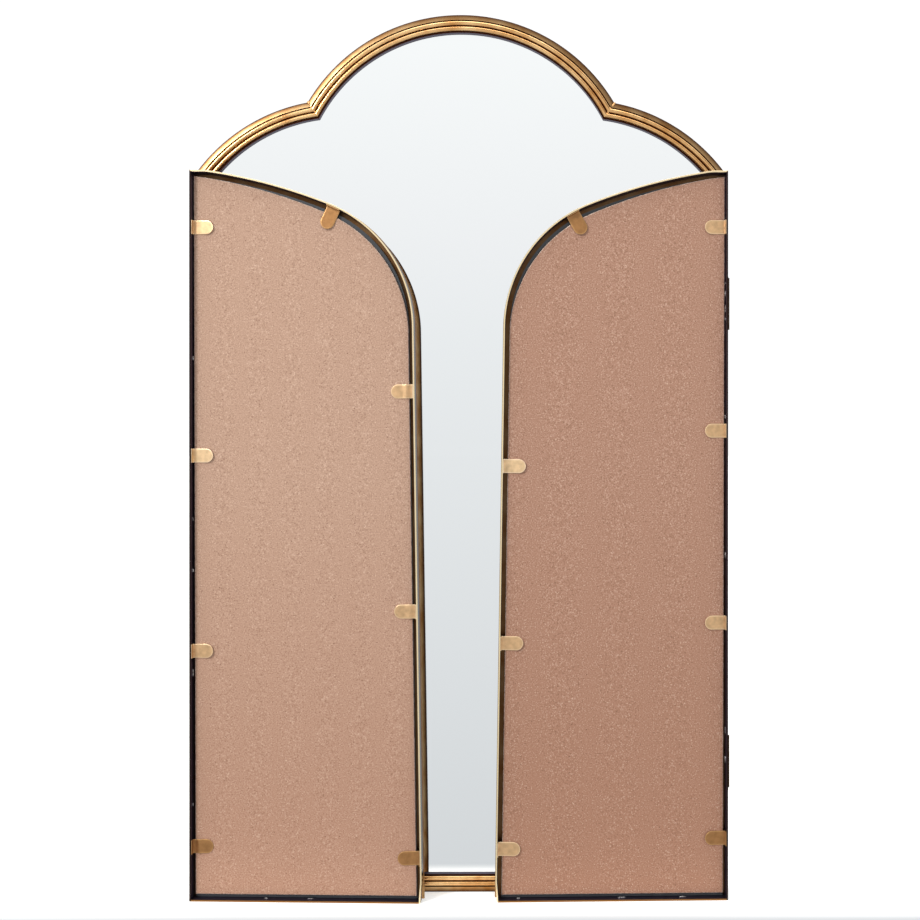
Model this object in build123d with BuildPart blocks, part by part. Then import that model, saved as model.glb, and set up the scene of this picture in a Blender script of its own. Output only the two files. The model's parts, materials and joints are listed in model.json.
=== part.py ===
from build123d import *
from math import atan2, cos, degrees, hypot, radians, sin, sqrt, tan
import os

# Tri-fold vanity mirror, millimetres. X is across, Z is up, and the centre mirror faces -Y.
# The origin is the middle of the centre panel's underside, halfway through its depth.

# Centre panel: a top arch and two shoulder arches of one radius, on straight stiles
height = 700.0
width = 424.0
depth = 16.0
arch_radius = 142.0
shoulder_set_in = 115.8
shoulder_drop = 67.6

# Wings: a straight inner stile that leans in a little, then two arcs to the hinge side
closed_gap = 54.6
wing_rise = 1.4
wing_crown = 125.0
wing_stile_lean = 0.84
wing_inner_radius = 105.9
wing_top_radius = 431.8

# Pose in the photograph: each wing is opened a little from the closed position
left_wing_open = 2.1
right_wing_open = 1.3

# Section of the ribbed brass sheet
sheet = 1.2
face_width = 14.0
lip = 1.8
lip_depth = 3.4
lip_chamfer = 0.6
band_width = 4.2
band_depth = 0.8
rib_width = 3.8
first_rib = 4.8
rib_gap = 0.5

# Glass, backing board and the room around them
glass_depth = 5.0
glass_thickness = 3.0
board_thickness = 2.5
pane_clearance = 2.2
pane_rest_clearance = 0.3
board_foot_clearance = 3.0
board_curve_slack = 2.6

# Retaining clips, bent from strip
clip_width = 11.0
clip_reach = 16.5
clip_strip = 0.7
clip_lift = 0.6
clip_flat = 7.0
clip_below_edge = 0.8

# Hinges: leaves on the side walls, knuckles between the panels
hinge_length = 40.0
hinge_from_end = 85.0
panel_gap = 4.0
pin_outside_lip = 0.3
pin_radius = 0.8
pin_clearance = 0.05
leaf = 0.8
leaf_reach = 12.0
end_knuckle = 12.0
knuckle_gap = 0.2
knuckle_relief = 0.5
pin_head = 0.6
notch_clearance = 0.5
rivet_radius = 1.0
rivet_head_radius = 1.8
rivet_head = 0.5
rivet_depth = 7.5
rivet_share = 0.25

# Sizes that follow
half_width = width / 2
front_y = -depth / 2
groove_depth = rib_width / 2
skin_depth = groove_depth + sheet
wall_inside = lip + sheet
pane_inset = wall_inside + pane_clearance
pane_floor_inset = sheet + pane_rest_clearance
board_back = glass_depth + glass_thickness + board_thickness
arch_centre = (0.0, height - arch_radius)
shoulder_centre = (half_width - shoulder_set_in, arch_centre[1] - shoulder_drop)
pin_x = half_width + pin_outside_lip
pin_y = front_y - panel_gap / 2
wing_edge = pin_x + pin_outside_lip
wing_width = half_width - closed_gap / 2
knuckle_radius = pin_radius + pin_clearance + leaf
wall_x = half_width - lip
overshoot = 6.0


def on_face(point, y=0.0):
    """A point (x, z) of a panel's face, at a given y."""
    return Vector(point[0], y, point[1])


def polar(centre, radius, angle):
    """The point on a circle at an angle in degrees, from +X towards +Z."""
    return (centre[0] + radius * cos(radians(angle)), centre[1] + radius * sin(radians(angle)))


def angle_to(centre, point):
    """The angle in degrees of a point, seen from a circle's centre."""
    return degrees(atan2(point[1] - centre[1], point[0] - centre[0]))


def between(start, end, share):
    """The point a share of the way from start to end."""
    return (start[0] + (end[0] - start[0]) * share, start[1] + (end[1] - start[1]) * share)


# Outline of the centre panel, at a distance in from its lips
def shoulder_corner(inset):
    """Where the shoulder arch meets the stile."""
    radius = arch_radius - inset
    x = half_width - inset
    return (x, shoulder_centre[1] + sqrt(radius**2 - (x - shoulder_centre[0]) ** 2))


def notch(inset):
    """Where the top arch meets the shoulder arch, two circles of one radius."""
    across = (shoulder_centre[0] - arch_centre[0], shoulder_centre[1] - arch_centre[1])
    spacing = hypot(*across)
    rise = sqrt((arch_radius - inset) ** 2 - (spacing / 2) ** 2)
    middle = between(arch_centre, shoulder_centre, 0.5)
    return (middle[0] - rise * across[1] / spacing, middle[1] + rise * across[0] / spacing)


# Outline of a wing laid open flat to the right of the centre panel
wing_height = shoulder_corner(0)[1] + wing_rise
wing_straight = wing_height - wing_crown
lean = radians(wing_stile_lean)
inner_tangent = (wing_edge + wing_width - wing_straight * tan(lean), wing_straight)
inner_centre = polar(inner_tangent, -wing_inner_radius, wing_stile_lean)


def top_arc_centre():
    """Centre of the wing's top arc: tangent to the inner arc, and through the hinge corner."""
    corner = (wing_edge, wing_height)
    reach = wing_top_radius - wing_inner_radius
    spacing = hypot(inner_centre[0] - corner[0], inner_centre[1] - corner[1])
    along = (wing_top_radius**2 - reach**2 + spacing**2) / (2 * spacing)
    off = sqrt(wing_top_radius**2 - along**2)
    unit = ((inner_centre[0] - corner[0]) / spacing, (inner_centre[1] - corner[1]) / spacing)
    return (corner[0] + unit[0] * along + unit[1] * off, corner[1] + unit[1] * along - unit[0] * off)


top_centre = top_arc_centre()
arc_change = angle_to(top_centre, inner_centre)


def wing_stile_x(inset, z):
    """The leaning inner stile's line, at a height."""
    return wing_edge + wing_width - z * tan(lean) - inset / cos(lean)


def wing_hinge_corner(inset):
    """Where the wing's top arc meets its hinge stile."""
    x = wing_edge + inset
    return (x, top_centre[1] + sqrt((wing_top_radius - inset) ** 2 - (x - top_centre[0]) ** 2))


def section(origin, inward, lip_out=lip):
    """The sheet's section at a point of the outline: x runs inward, y runs back from the rib tops."""
    plane = Plane(on_face(origin, front_y), x_dir=inward, z_dir=Vector(inward).cross(Vector(0, 1, 0)))
    edge_depth = band_depth + lip_chamfer
    lip_step = [(lip_out, lip_depth), (0, lip_depth)] if lip_out else []
    with BuildSketch(plane) as profile:
        with BuildLine():
            folded_edge = [(0, edge_depth + lip_chamfer), (lip_chamfer, edge_depth)]
            Polyline(*folded_edge, (band_width, band_depth), (band_width, groove_depth))
            left = first_rib
            Line((band_width, groove_depth), (left, groove_depth))
            ThreePointArc((left, groove_depth), (left + rib_width / 2, 0), (left + rib_width, groove_depth))
            next_rib = left + rib_width + rib_gap
            Line((left + rib_width, groove_depth), (next_rib, groove_depth))
            end = next_rib + rib_width
            ThreePointArc((next_rib, groove_depth), (next_rib + rib_width / 2, 0), (end, groove_depth))
            Polyline(
                (end, groove_depth),
                (face_width, groove_depth),
                (face_width, glass_depth),
                (face_width - sheet, glass_depth),
                (face_width - sheet, skin_depth),
                (lip_out + sheet, skin_depth),
                (lip_out + sheet, depth),
                (lip_out, depth),
                *lip_step,
                folded_edge[0],
            )
        make_face()
    return profile.sketch


def arc_axis(centre):
    """Turning about this axis by a positive angle goes from +X towards +Z."""
    return Axis(on_face(centre), (0, -1, 0))


def arc_section(centre, radius, angle):
    """The sheet's section on an arc, at an angle."""
    out = (cos(radians(angle)), 0, sin(radians(angle)))
    return section(polar(centre, radius, angle), Vector(*out) * -1)


def cut_block(points):
    """A block through the whole depth, over points (x, z)."""
    with BuildSketch(Plane.XZ.offset(-depth)) as plan:
        with BuildLine():
            Polyline(*points, close=True)
        make_face()
    return plan.sketch


def mitre_block(outer, inner, away):
    """Block that trims a piece at the mitre from outer to inner corner, on the side facing away."""
    run = Vector(inner[0] - outer[0], inner[1] - outer[1]).normalized()
    side = Vector(-run.Y, run.X)
    if side.dot(Vector(away[0] - outer[0], away[1] - outer[1])) < 0:
        side = side * -1
    start = Vector(*outer) - run * 2 * face_width
    end = Vector(*inner) + run * 2 * face_width
    reach = side * 3 * face_width
    return cut_block([(p.X, p.Y) for p in (start, end, end + reach, start + reach)])


def foot_block(outer, inner, slope=0.0):
    """Block that clears the bottom rail's place out of a stile that runs down to the floor."""
    heel = between(outer, inner, wall_inside / face_width)
    past = between(outer, inner, 1.5)
    return cut_block([heel, past, (past[0], -1), (heel[0] + (heel[1] + 1) * slope, -1)])


def finish(name, part, wing=None):
    """Turn a wing's piece from open flat to its pose in the photograph, then write it."""
    if wing == "left":
        part = part.mirror(Plane.YZ).rotate(Axis((-pin_x, pin_y, 0), (0, 0, 1)), 180 - left_wing_open)
    if wing == "right":
        part = part.rotate(Axis((pin_x, pin_y, 0), (0, 0, 1)), right_wing_open - 180)
    part.label = name
    export_step(part, f"parts/{name}.step")


def flip(point):
    """The same point on the left of the centre line."""
    return (-point[0], point[1])


def make_top_arch():
    """Arch over the middle, mitred to the shoulders at the two notches."""
    outer, inner = notch(0), notch(face_width)
    start = angle_to(arch_centre, outer) - overshoot
    with BuildPart() as arch:
        revolve(arc_section(arch_centre, arch_radius, start), arc_axis(arch_centre), 180 - 2 * start)
        extrude(mitre_block(outer, inner, shoulder_centre), 2 * depth, mode=Mode.SUBTRACT)
        left = mitre_block(flip(outer), flip(inner), flip(shoulder_centre))
        extrude(left, 2 * depth, mode=Mode.SUBTRACT)
    return arch.part


def make_shoulder():
    """Right shoulder arch, from the notch down to the stile."""
    start = angle_to(shoulder_centre, shoulder_corner(0)) - overshoot
    stop = angle_to(shoulder_centre, notch(0)) + overshoot
    bar = arc_section(shoulder_centre, arch_radius, start)
    with BuildPart() as arch:
        revolve(bar, arc_axis(shoulder_centre), stop - start)
        extrude(mitre_block(notch(0), notch(face_width), arch_centre), 2 * depth, mode=Mode.SUBTRACT)
        foot = mitre_block(shoulder_corner(0), shoulder_corner(face_width), (half_width, 0))
        extrude(foot, 2 * depth, mode=Mode.SUBTRACT)
    return arch.part


def hinge_starts():
    """Height of the lower end of each hinge."""
    return {"lower": hinge_from_end, "upper": wing_height - hinge_from_end - hinge_length}


def rivet_heights():
    """Height of each rivet, two in every leaf."""
    shares = (rivet_share, 1 - rivet_share)
    return [start + hinge_length * share for start in hinge_starts().values() for share in shares]


def cut_hinge_seats(lip_x, inward):
    """Notch the lip for the hinge leaves, and drill the wall for their rivets."""
    notch_height = hinge_length + 2 * notch_clearance
    for start in hinge_starts().values():
        with BuildSketch(Plane.XY.offset(start - notch_clearance)) as seat:
            with Locations((lip_x, front_y + lip_depth / 2)):
                Rectangle(2 * lip, lip_depth + 2 * notch_clearance)
        extrude(seat.sketch, notch_height, mode=Mode.SUBTRACT)
    for z in rivet_heights():
        with Locations(Location((lip_x + inward * wall_inside / 2, front_y + rivet_depth, z), (0, 90, 0))):
            Cylinder(rivet_radius + pin_clearance, 2 * wall_inside, mode=Mode.SUBTRACT)


def make_stile():
    """Right stile, behind the wing: it runs down to the floor beside the bottom rail."""
    top = shoulder_corner(0)[1] + overshoot
    with BuildPart() as stile:
        extrude(section((half_width, 0), (-1, 0, 0)), top, dir=(0, 0, 1))
        head = mitre_block(shoulder_corner(0), shoulder_corner(face_width), arch_centre)
        extrude(head, 2 * depth, mode=Mode.SUBTRACT)
        foot = foot_block((half_width, 0), (half_width - face_width, face_width))
        extrude(foot, 2 * depth, mode=Mode.SUBTRACT)
        cut_hinge_seats(half_width, -1)
    return stile.part


def make_rail(start, start_inner, end, end_inner, slope=0.0):
    """Bottom rail between two stiles, its wall flush with the floor and its face mitred."""
    length = end[0] - start[0]
    with BuildPart() as rail:
        extrude(section(start, (0, 0, 1), 0.0), length, dir=(1, 0, 0))
        for outer, inner, side, tilt in ((start, start_inner, -1, 0.0), (end, end_inner, 1, slope)):
            heel = between(outer, inner, wall_inside / face_width)
            past = between(outer, inner, 1.5)
            far = outer[0] + side * face_width
            floor = (heel[0] + (heel[1] + 1) * tilt, -1)
            extrude(cut_block([heel, past, (far, past[1]), (far, -1), floor]), 2 * depth, mode=Mode.SUBTRACT)
    return rail.part


def centre_pane(y, thickness, foot=pane_floor_inset):
    """Glass or board of the centre panel: the glass rests on the bottom rail."""
    side, top = shoulder_corner(pane_inset)
    dip = notch(pane_inset)
    radius = arch_radius - pane_inset
    bend = (angle_to(shoulder_centre, (side, top)) + angle_to(shoulder_centre, dip)) / 2
    crest = polar(shoulder_centre, radius, bend)
    with BuildPart() as pane:
        with BuildSketch(Plane.XZ.offset(-y)):
            with BuildLine():
                Polyline(flip((side, top)), (-side, foot), (side, foot), (side, top))
                ThreePointArc((side, top), crest, dip)
                ThreePointArc(dip, (0, arch_centre[1] + radius), flip(dip))
                ThreePointArc(flip(dip), flip(crest), flip((side, top)))
            make_face()
        extrude(amount=-thickness)
    return pane.part


def make_wing_arch():
    """Inner stile and rounded top of a wing, bent from one length."""
    corner, corner_inner = wing_hinge_corner(0), wing_hinge_corner(face_width)
    stop = angle_to(top_centre, corner) + overshoot / 4
    foot = (wing_stile_x(0, -face_width), -face_width)
    leaning = Vector(-cos(lean), 0, -sin(lean))
    length = (wing_straight + face_width) / cos(lean)
    with BuildPart() as arch:
        extrude(section(foot, leaning), length, dir=(-sin(lean), 0, cos(lean)))
        inner_bar = arc_section(inner_centre, wing_inner_radius, wing_stile_lean)
        revolve(inner_bar, arc_axis(inner_centre), arc_change - wing_stile_lean)
        top_bar = arc_section(top_centre, wing_top_radius, arc_change)
        revolve(top_bar, arc_axis(top_centre), stop - arc_change)
        extrude(mitre_block(corner, corner_inner, (wing_edge, 0)), 2 * depth, mode=Mode.SUBTRACT)
        below = foot[1] - face_width
        ends = ((wing_edge, 0), (foot[0] + face_width, 0), (foot[0] + face_width, below), (wing_edge, below))
        extrude(cut_block(ends), 2 * depth, mode=Mode.SUBTRACT)
        heel = foot_block((wing_stile_x(0, 0), 0), (wing_stile_x(face_width, face_width), face_width), tan(lean))
        extrude(heel, 2 * depth, mode=Mode.SUBTRACT)
    return arch.part


def make_wing_hinge_stile():
    """Straight stile beside the hinges."""
    with BuildPart() as stile:
        extrude(section((wing_edge, 0), (1, 0, 0)), wing_height + overshoot, dir=(0, 0, 1))
        corner, corner_inner = wing_hinge_corner(0), wing_hinge_corner(face_width)
        above = (wing_edge, 2 * wing_height)
        extrude(mitre_block(corner, corner_inner, above), 2 * depth, mode=Mode.SUBTRACT)
        foot = foot_block((wing_edge, 0), (wing_edge + face_width, face_width))
        extrude(foot, 2 * depth, mode=Mode.SUBTRACT)
        cut_hinge_seats(wing_edge, 1)
    return stile.part


def wing_pane(y, thickness, foot_inset=pane_floor_inset, slack=0.0):
    """Glass or board of a wing: the glass rests on the bottom rail, the board is cut looser round the curve."""
    inner_radius = wing_inner_radius - pane_inset
    corner = wing_hinge_corner(pane_inset)
    left = wing_edge + pane_inset
    foot = (wing_stile_x(pane_inset, foot_inset), foot_inset)
    bend = polar(inner_centre, inner_radius, wing_stile_lean)
    crown = polar(inner_centre, inner_radius - slack, arc_change)
    mid_bend = polar(inner_centre, inner_radius - slack, (wing_stile_lean + arc_change) / 2)
    mid_angle = (arc_change + angle_to(top_centre, corner)) / 2
    mid_top = polar(top_centre, wing_top_radius - pane_inset - slack / 2, mid_angle)
    with BuildPart() as pane:
        with BuildSketch(Plane.XZ.offset(-y)):
            with BuildLine():
                Polyline(corner, (left, foot_inset), foot, bend)
                ThreePointArc(bend, mid_bend, crown)
                ThreePointArc(crown, mid_top, corner)
            make_face()
        extrude(amount=-thickness)
    return pane.part


def make_clip(foot, inward, wall=wall_inside, wall_radius=None):
    """Strip that stands on the wall's inside and folds over the board, with a rounded, lifted end."""
    seat = wall + (clip_width**2 / 8 / wall_radius if wall_radius else 0)
    tip = seat + clip_reach
    inside = Vector(inward)
    side_plane = Plane(on_face(foot, front_y), x_dir=inside, z_dir=inside.cross(Vector(0, 1, 0)))
    with BuildPart() as clip:
        with BuildSketch(side_plane):
            with BuildLine():
                Polyline(
                    (seat, board_back),
                    (seat + clip_flat, board_back),
                    (tip, board_back + clip_lift),
                    (tip, board_back + clip_lift + clip_strip),
                    (seat + clip_flat, board_back + clip_strip),
                    (seat + clip_strip, board_back + clip_strip),
                    (seat + clip_strip, depth - clip_below_edge),
                    (seat, depth - clip_below_edge),
                    close=True,
                )
            make_face()
        extrude(amount=clip_width / 2, both=True)
        with BuildSketch(Plane(on_face(foot, -depth), x_dir=inside, z_dir=(0, 1, 0))):
            with Locations((seat, 0)):
                Rectangle(clip_reach - clip_width / 2, clip_width, align=(Align.MIN, Align.CENTER))
            with Locations((tip - clip_width / 2, 0)):
                Circle(clip_width / 2)
        extrude(amount=2 * depth, mode=Mode.INTERSECT)
    return clip.part


def make_leaf(start, side, middle):
    """Hinge leaf on a side wall: side is -1 for the centre's, 1 for a flat open wing's."""
    face = pin_x + side * (pin_x - wall_x)
    knuckle_end = start + hinge_length
    own_middle = (start + end_knuckle + knuckle_gap, knuckle_end - end_knuckle - knuckle_gap)
    relief = knuckle_radius + knuckle_relief
    with BuildPart() as plate:
        with BuildSketch(Plane.XY.offset(start)):
            with Locations((face - side * leaf / 2, pin_y)):
                Rectangle(leaf, front_y + leaf_reach - pin_y, align=(Align.CENTER, Align.MIN))
            with Locations((pin_x, pin_y)):
                Circle(knuckle_radius)
        extrude(amount=hinge_length)
        clear = [(start, own_middle[0]), (own_middle[1], knuckle_end)] if middle else []
        clear = clear or [(start + end_knuckle, knuckle_end - end_knuckle)]
        for low, high in clear:
            with BuildSketch(Plane.XY.offset(low)):
                with Locations((face + side, pin_y)):
                    across = pin_x - wall_x + relief + 1
                    Rectangle(across, 2 * relief, align=(Align.MIN if side < 0 else Align.MAX, Align.CENTER))
            extrude(amount=high - low, mode=Mode.SUBTRACT)
        with Locations((pin_x, pin_y, start + hinge_length / 2)):
            Cylinder(pin_radius + pin_clearance, hinge_length + 2, mode=Mode.SUBTRACT)
        for z in rivet_heights():
            with Locations(Location((face, front_y + rivet_depth, z), (0, 90, 0))):
                Cylinder(rivet_radius + pin_clearance, 4 * leaf, mode=Mode.SUBTRACT)
    return plate.part


def make_pin(start):
    """Hinge pin with a flat head at each end, outside the end knuckles."""
    with BuildPart() as pin:
        with Locations((pin_x, pin_y, start + hinge_length / 2)):
            Cylinder(pin_radius, hinge_length)
        for z in (start - pin_head, start + hinge_length):
            with Locations((pin_x, pin_y, z)):
                Cylinder(knuckle_radius, pin_head, align=(Align.CENTER, Align.CENTER, Align.MIN))
    return pin.part


def make_rivets(side):
    """Rivets through the leaves and the wall: a head outside, a clenched tail inside."""
    face = pin_x + side * (pin_x - wall_x)
    outside, inside = face - side * leaf, face + side * sheet
    tip = inside + side * rivet_head
    with BuildPart() as group:
        for z in rivet_heights():
            y = front_y + rivet_depth
            for low, high, radius in (
                (outside - side * rivet_head, outside, rivet_head_radius),
                (outside, tip, rivet_radius),
                (inside, tip, rivet_head_radius),
            ):
                with Locations(Location(((low + high) / 2, y, z), (0, 90, 0))):
                    Cylinder(radius, abs(high - low))
    return group.part


os.makedirs("parts", exist_ok=True)

# Centre panel
finish("centre_top_arch", make_top_arch())
for side in ("left", "right"):
    shoulder, stile = make_shoulder(), make_stile()
    if side == "left":
        shoulder, stile = shoulder.mirror(Plane.YZ), stile.mirror(Plane.YZ)
    finish(f"centre_{side}_shoulder", shoulder)
    finish(f"centre_{side}_stile", stile)
right_foot, right_foot_inner = (half_width, 0), (half_width - face_width, face_width)
finish("centre_bottom_rail", make_rail(flip(right_foot), flip(right_foot_inner), right_foot, right_foot_inner))
finish("centre_mirror_glass", centre_pane(front_y + glass_depth, glass_thickness))
board_y, board_foot = front_y + glass_depth + glass_thickness, sheet + board_foot_clearance
finish("centre_backing_board", centre_pane(board_y, board_thickness, board_foot))

# Clips of the centre panel: three on each stile, one on each shoulder, one at the top and bottom
arc_wall = arch_radius - wall_inside
shoulder_middle = (angle_to(shoulder_centre, shoulder_corner(0)) + angle_to(shoulder_centre, notch(0))) / 2
finish("centre_top_clip", make_clip(polar(arch_centre, arch_radius, 90), (0, 0, -1), wall_radius=arc_wall))
finish("centre_bottom_clip", make_clip((0, 0), (0, 0, 1), wall=sheet))
for side, sign in (("left", -1), ("right", 1)):
    foot = polar(shoulder_centre, arch_radius, shoulder_middle)
    inward = (shoulder_centre[0] - foot[0], 0, shoulder_centre[1] - foot[1])
    clip = make_clip(foot, inward, wall_radius=arc_wall)
    finish(f"centre_{side}_shoulder_clip", clip.mirror(Plane.YZ) if side == "left" else clip)
    for number, share in enumerate((0.17, 0.5, 0.83), start=1):
        clip = make_clip((sign * half_width, share * shoulder_corner(0)[1]), (-sign, 0, 0))
        finish(f"centre_{side}_stile_clip_{number}", clip)

# Wings, with clips at shares of each stile's height and one at an angle on the inner arc
stile_clips = {"left": (0.073, 0.34, 0.607, 0.919), "right": (0.083, 0.378, 0.641, 0.92)}
inner_clips = {"left": (0.076, 0.505, 0.888), "right": (0.09, 0.449, 0.758)}
arc_clip = {"left": 66.0, "right": 60.5}
wing_foot, wing_foot_inner = (wing_edge, 0), (wing_edge + face_width, face_width)
toe, toe_inner = (wing_stile_x(0, 0), 0), (wing_stile_x(face_width, face_width), face_width)
for side in ("left", "right"):
    finish(f"{side}_wing_arch", make_wing_arch(), side)
    finish(f"{side}_wing_hinge_stile", make_wing_hinge_stile(), side)
    rail = make_rail(wing_foot, wing_foot_inner, toe, toe_inner, tan(lean))
    finish(f"{side}_wing_bottom_rail", rail, side)
    finish(f"{side}_wing_mirror_glass", wing_pane(front_y + glass_depth, glass_thickness), side)
    board = wing_pane(board_y, board_thickness, board_foot, board_curve_slack)
    finish(f"{side}_wing_backing_board", board, side)
    for number, share in enumerate(stile_clips[side], start=1):
        clip = make_clip((wing_edge, share * wing_height), (1, 0, 0))
        finish(f"{side}_wing_hinge_clip_{number}", clip, side)
    for number, share in enumerate(inner_clips[side], start=1):
        z = share * wing_straight
        clip = make_clip((wing_stile_x(0, z), z), (-cos(lean), 0, -sin(lean)))
        finish(f"{side}_wing_inner_clip_{number}", clip, side)
    foot = polar(inner_centre, wing_inner_radius, arc_clip[side])
    inward = (inner_centre[0] - foot[0], 0, inner_centre[1] - foot[1])
    clip = make_clip(foot, inward, wall_radius=wing_inner_radius - wall_inside)
    finish(f"{side}_wing_top_clip", clip, side)

# Hinges
for side in ("left", "right"):
    for place, start in hinge_starts().items():
        centre_leaf, pin = make_leaf(start, -1, middle=False), make_pin(start)
        if side == "left":
            centre_leaf, pin = centre_leaf.mirror(Plane.YZ), pin.mirror(Plane.YZ)
        finish(f"{side}_{place}_hinge_centre_leaf", centre_leaf)
        finish(f"{side}_{place}_hinge_pin", pin)
        finish(f"{side}_{place}_hinge_wing_leaf", make_leaf(start, 1, middle=True), side)
    finish(f"{side}_wing_hinge_rivets", make_rivets(1), side)
with BuildPart() as centre_rivets:
    add(make_rivets(-1))
    add(make_rivets(-1).mirror(Plane.YZ))
finish("centre_hinge_rivets", centre_rivets.part)

print("hinge axes at x", pin_x, "y", pin_y, "wing height", round(wing_height, 2))
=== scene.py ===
import bmesh
import bpy
import json
import numpy as np
from math import cos, radians, sin, tan
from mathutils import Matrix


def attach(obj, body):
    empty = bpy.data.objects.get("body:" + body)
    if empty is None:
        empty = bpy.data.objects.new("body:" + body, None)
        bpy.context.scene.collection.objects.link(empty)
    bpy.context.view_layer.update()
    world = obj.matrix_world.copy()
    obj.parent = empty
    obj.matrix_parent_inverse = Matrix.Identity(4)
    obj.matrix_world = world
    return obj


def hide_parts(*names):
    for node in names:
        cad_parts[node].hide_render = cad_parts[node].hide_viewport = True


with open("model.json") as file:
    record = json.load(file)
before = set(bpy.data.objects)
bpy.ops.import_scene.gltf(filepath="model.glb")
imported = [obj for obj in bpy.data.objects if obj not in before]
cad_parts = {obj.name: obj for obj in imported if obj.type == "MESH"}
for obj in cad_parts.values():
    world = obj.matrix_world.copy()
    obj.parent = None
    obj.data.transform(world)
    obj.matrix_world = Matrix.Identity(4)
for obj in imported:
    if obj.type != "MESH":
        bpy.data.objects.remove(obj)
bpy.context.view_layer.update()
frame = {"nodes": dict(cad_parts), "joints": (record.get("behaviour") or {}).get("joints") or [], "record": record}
nodes = frame["nodes"]
joints = {joint["name"]: joint for joint in frame["joints"]}
bodyOf = {node: body for body, names in frame["record"]["behaviour"]["bodies"].items() for node in names}

mm = 0.001  # sizes below are millimetres and are multiplied by this


def hexToLinear(hexText):
    # an sRGB hex value to linear light: c / 12.92 in the shadows, else ((c + 0.055) / 1.055) to the power 2.4
    channels = np.array([int(hexText[i:i + 2], 16) for i in (1, 3, 5)]) / 255
    linear = np.where(channels <= 0.04045, channels / 12.92, ((channels + 0.055) / 1.055) ** 2.4)
    return (*linear.tolist(), 1.0)


def addNode(tree, kind, links=None, **settings):
    # one node with its settings; each link is an input's name or number and a node, a socket or a plain value,
    # and a node gives its first output in use
    node = tree.nodes.new(kind)
    for name, value in settings.items():
        setattr(node, name, value)
    for key, value in (links or {}).items():
        if isinstance(value, bpy.types.Node):
            value = next(socket for socket in value.outputs if socket.enabled)
        if isinstance(value, bpy.types.NodeSocket):
            tree.links.new(value, node.inputs[key])
        else:
            node.inputs[key].default_value = value
    return node


def startMaterial(name, **shaderValues):
    # an empty material with one Principled shader, its constant values on the shader's own sockets
    material = bpy.data.materials.new(name)
    material.use_nodes = True
    tree = material.node_tree
    tree.nodes.clear()
    values = {key.replace("_", " "): value for key, value in shaderValues.items()}
    shader = addNode(tree, "ShaderNodeBsdfPrincipled", values)
    addNode(tree, "ShaderNodeOutputMaterial", {"Surface": shader})
    return material, tree, shader


def join(tree, source, shader, socketName):
    # links a node's first output in use to a socket of the shader
    tree.links.new(next(socket for socket in source.outputs if socket.enabled), shader.inputs[socketName])


def paint(nodeNames, material):
    # the material goes into every slot of the named CAD nodes, whose meshes stay as they are
    for name in nodeNames:
        slots = nodes[name].data.materials
        for index in range(len(slots)):
            slots[index] = material
        if not len(slots):
            slots.append(material)


def meshFrom(name, vertices, faces, material):
    # whole arrays of corners and equal-sided faces, handed to the mesh at once
    mesh = bpy.data.meshes.new(name)
    count, sides = faces.shape
    mesh.vertices.add(len(vertices))
    mesh.vertices.foreach_set("co", np.asarray(vertices, np.float32).ravel())
    mesh.loops.add(count * sides)
    mesh.loops.foreach_set("vertex_index", faces.astype(np.int32).ravel())
    mesh.polygons.add(count)
    mesh.polygons.foreach_set("loop_start", np.arange(count, dtype=np.int32) * sides)
    mesh.update(calc_edges=True)
    mesh.validate()
    mesh.materials.append(material)
    piece = bpy.data.objects.new(name, mesh)
    bpy.context.scene.collection.objects.link(piece)
    return piece


def gridMesh(name, points, material, closedAcross=False, closedAlong=False):
    # points[i, j] is the surface at step i along and j across; quads join neighbours, and a closed way wraps round
    along, across = points.shape[:2]
    i = np.arange(along if closedAlong else along - 1)[:, None]
    j = np.arange(across if closedAcross else across - 1)[None, :]
    nextI, nextJ = (i + 1) % along, (j + 1) % across
    quads = np.stack([i * across + j, i * across + nextJ, nextI * across + nextJ, nextI * across + j], axis=-1)
    return meshFrom(name, points.reshape(-1, 3), quads.reshape(-1, 4), material)


def closeUp(piece, sharpDeg=180.0):
    # merges the corners that meet, caps open ends, turns every face outwards, and keeps bends over sharpDeg crisp
    shape = bmesh.new()
    shape.from_mesh(piece.data)
    bmesh.ops.remove_doubles(shape, verts=shape.verts, dist=1e-6)
    rims = [edge for edge in shape.edges if edge.is_boundary]
    for cap in bmesh.ops.holes_fill(shape, edges=rims, sides=0)["faces"]:
        cap.material_index = 0
    bmesh.ops.recalc_face_normals(shape, faces=shape.faces)
    shape.to_mesh(piece.data)
    shape.free()
    piece.data.polygons.foreach_set("use_smooth", np.ones(len(piece.data.polygons), bool))
    piece.data.set_sharp_from_angle(angle=radians(sharpDeg))


def setAttribute(piece, name, values):
    # one number for each corner of the mesh, which a material can read
    layer = piece.data.attributes.new(name, "FLOAT", "POINT")
    layer.data.foreach_set("value", np.asarray(values, np.float32).ravel())


def nodePoints(name):
    # a CAD node's corners as an array
    mesh = nodes[name].data
    points = np.empty(len(mesh.vertices) * 3, np.float32)
    mesh.vertices.foreach_get("co", points)
    return points.reshape(-1, 3).astype(float)


# The brass frame's section: depths are measured back from the rib tops
section = {
    "sheet": 1.2, "faceWidth": 14.0, "bandWidth": 4.2, "bandDepth": 0.8,
    "firstRib": 4.8, "ribWidth": 3.8, "ribGap": 0.5, "lipDepth": 3.4, "lipChamfer": 0.6,
    "skinBack": 3.1, "glassFace": 5.0, "boardFront": 8.0, "boardBack": 10.5,
    "archBack": 15.9, "pinAhead": 2.0,
}


def panelPose(pin, openDeg, side):
    # a panel's own axes: back runs from its mirror face to its back edge, and across = up cross back;
    # a folded wing's back is (side sin a, -cos a, 0) for an opening of a
    opened = radians(openDeg)
    back = np.array([side * sin(opened), -cos(opened), 0.0]) if side else np.array([0.0, 1.0, 0.0])
    up = np.array([0.0, 0.0, 1.0])
    across = np.cross(up, back)
    return {"pin": np.array(pin), "back": back, "up": up, "across": across, "side": side}


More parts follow.
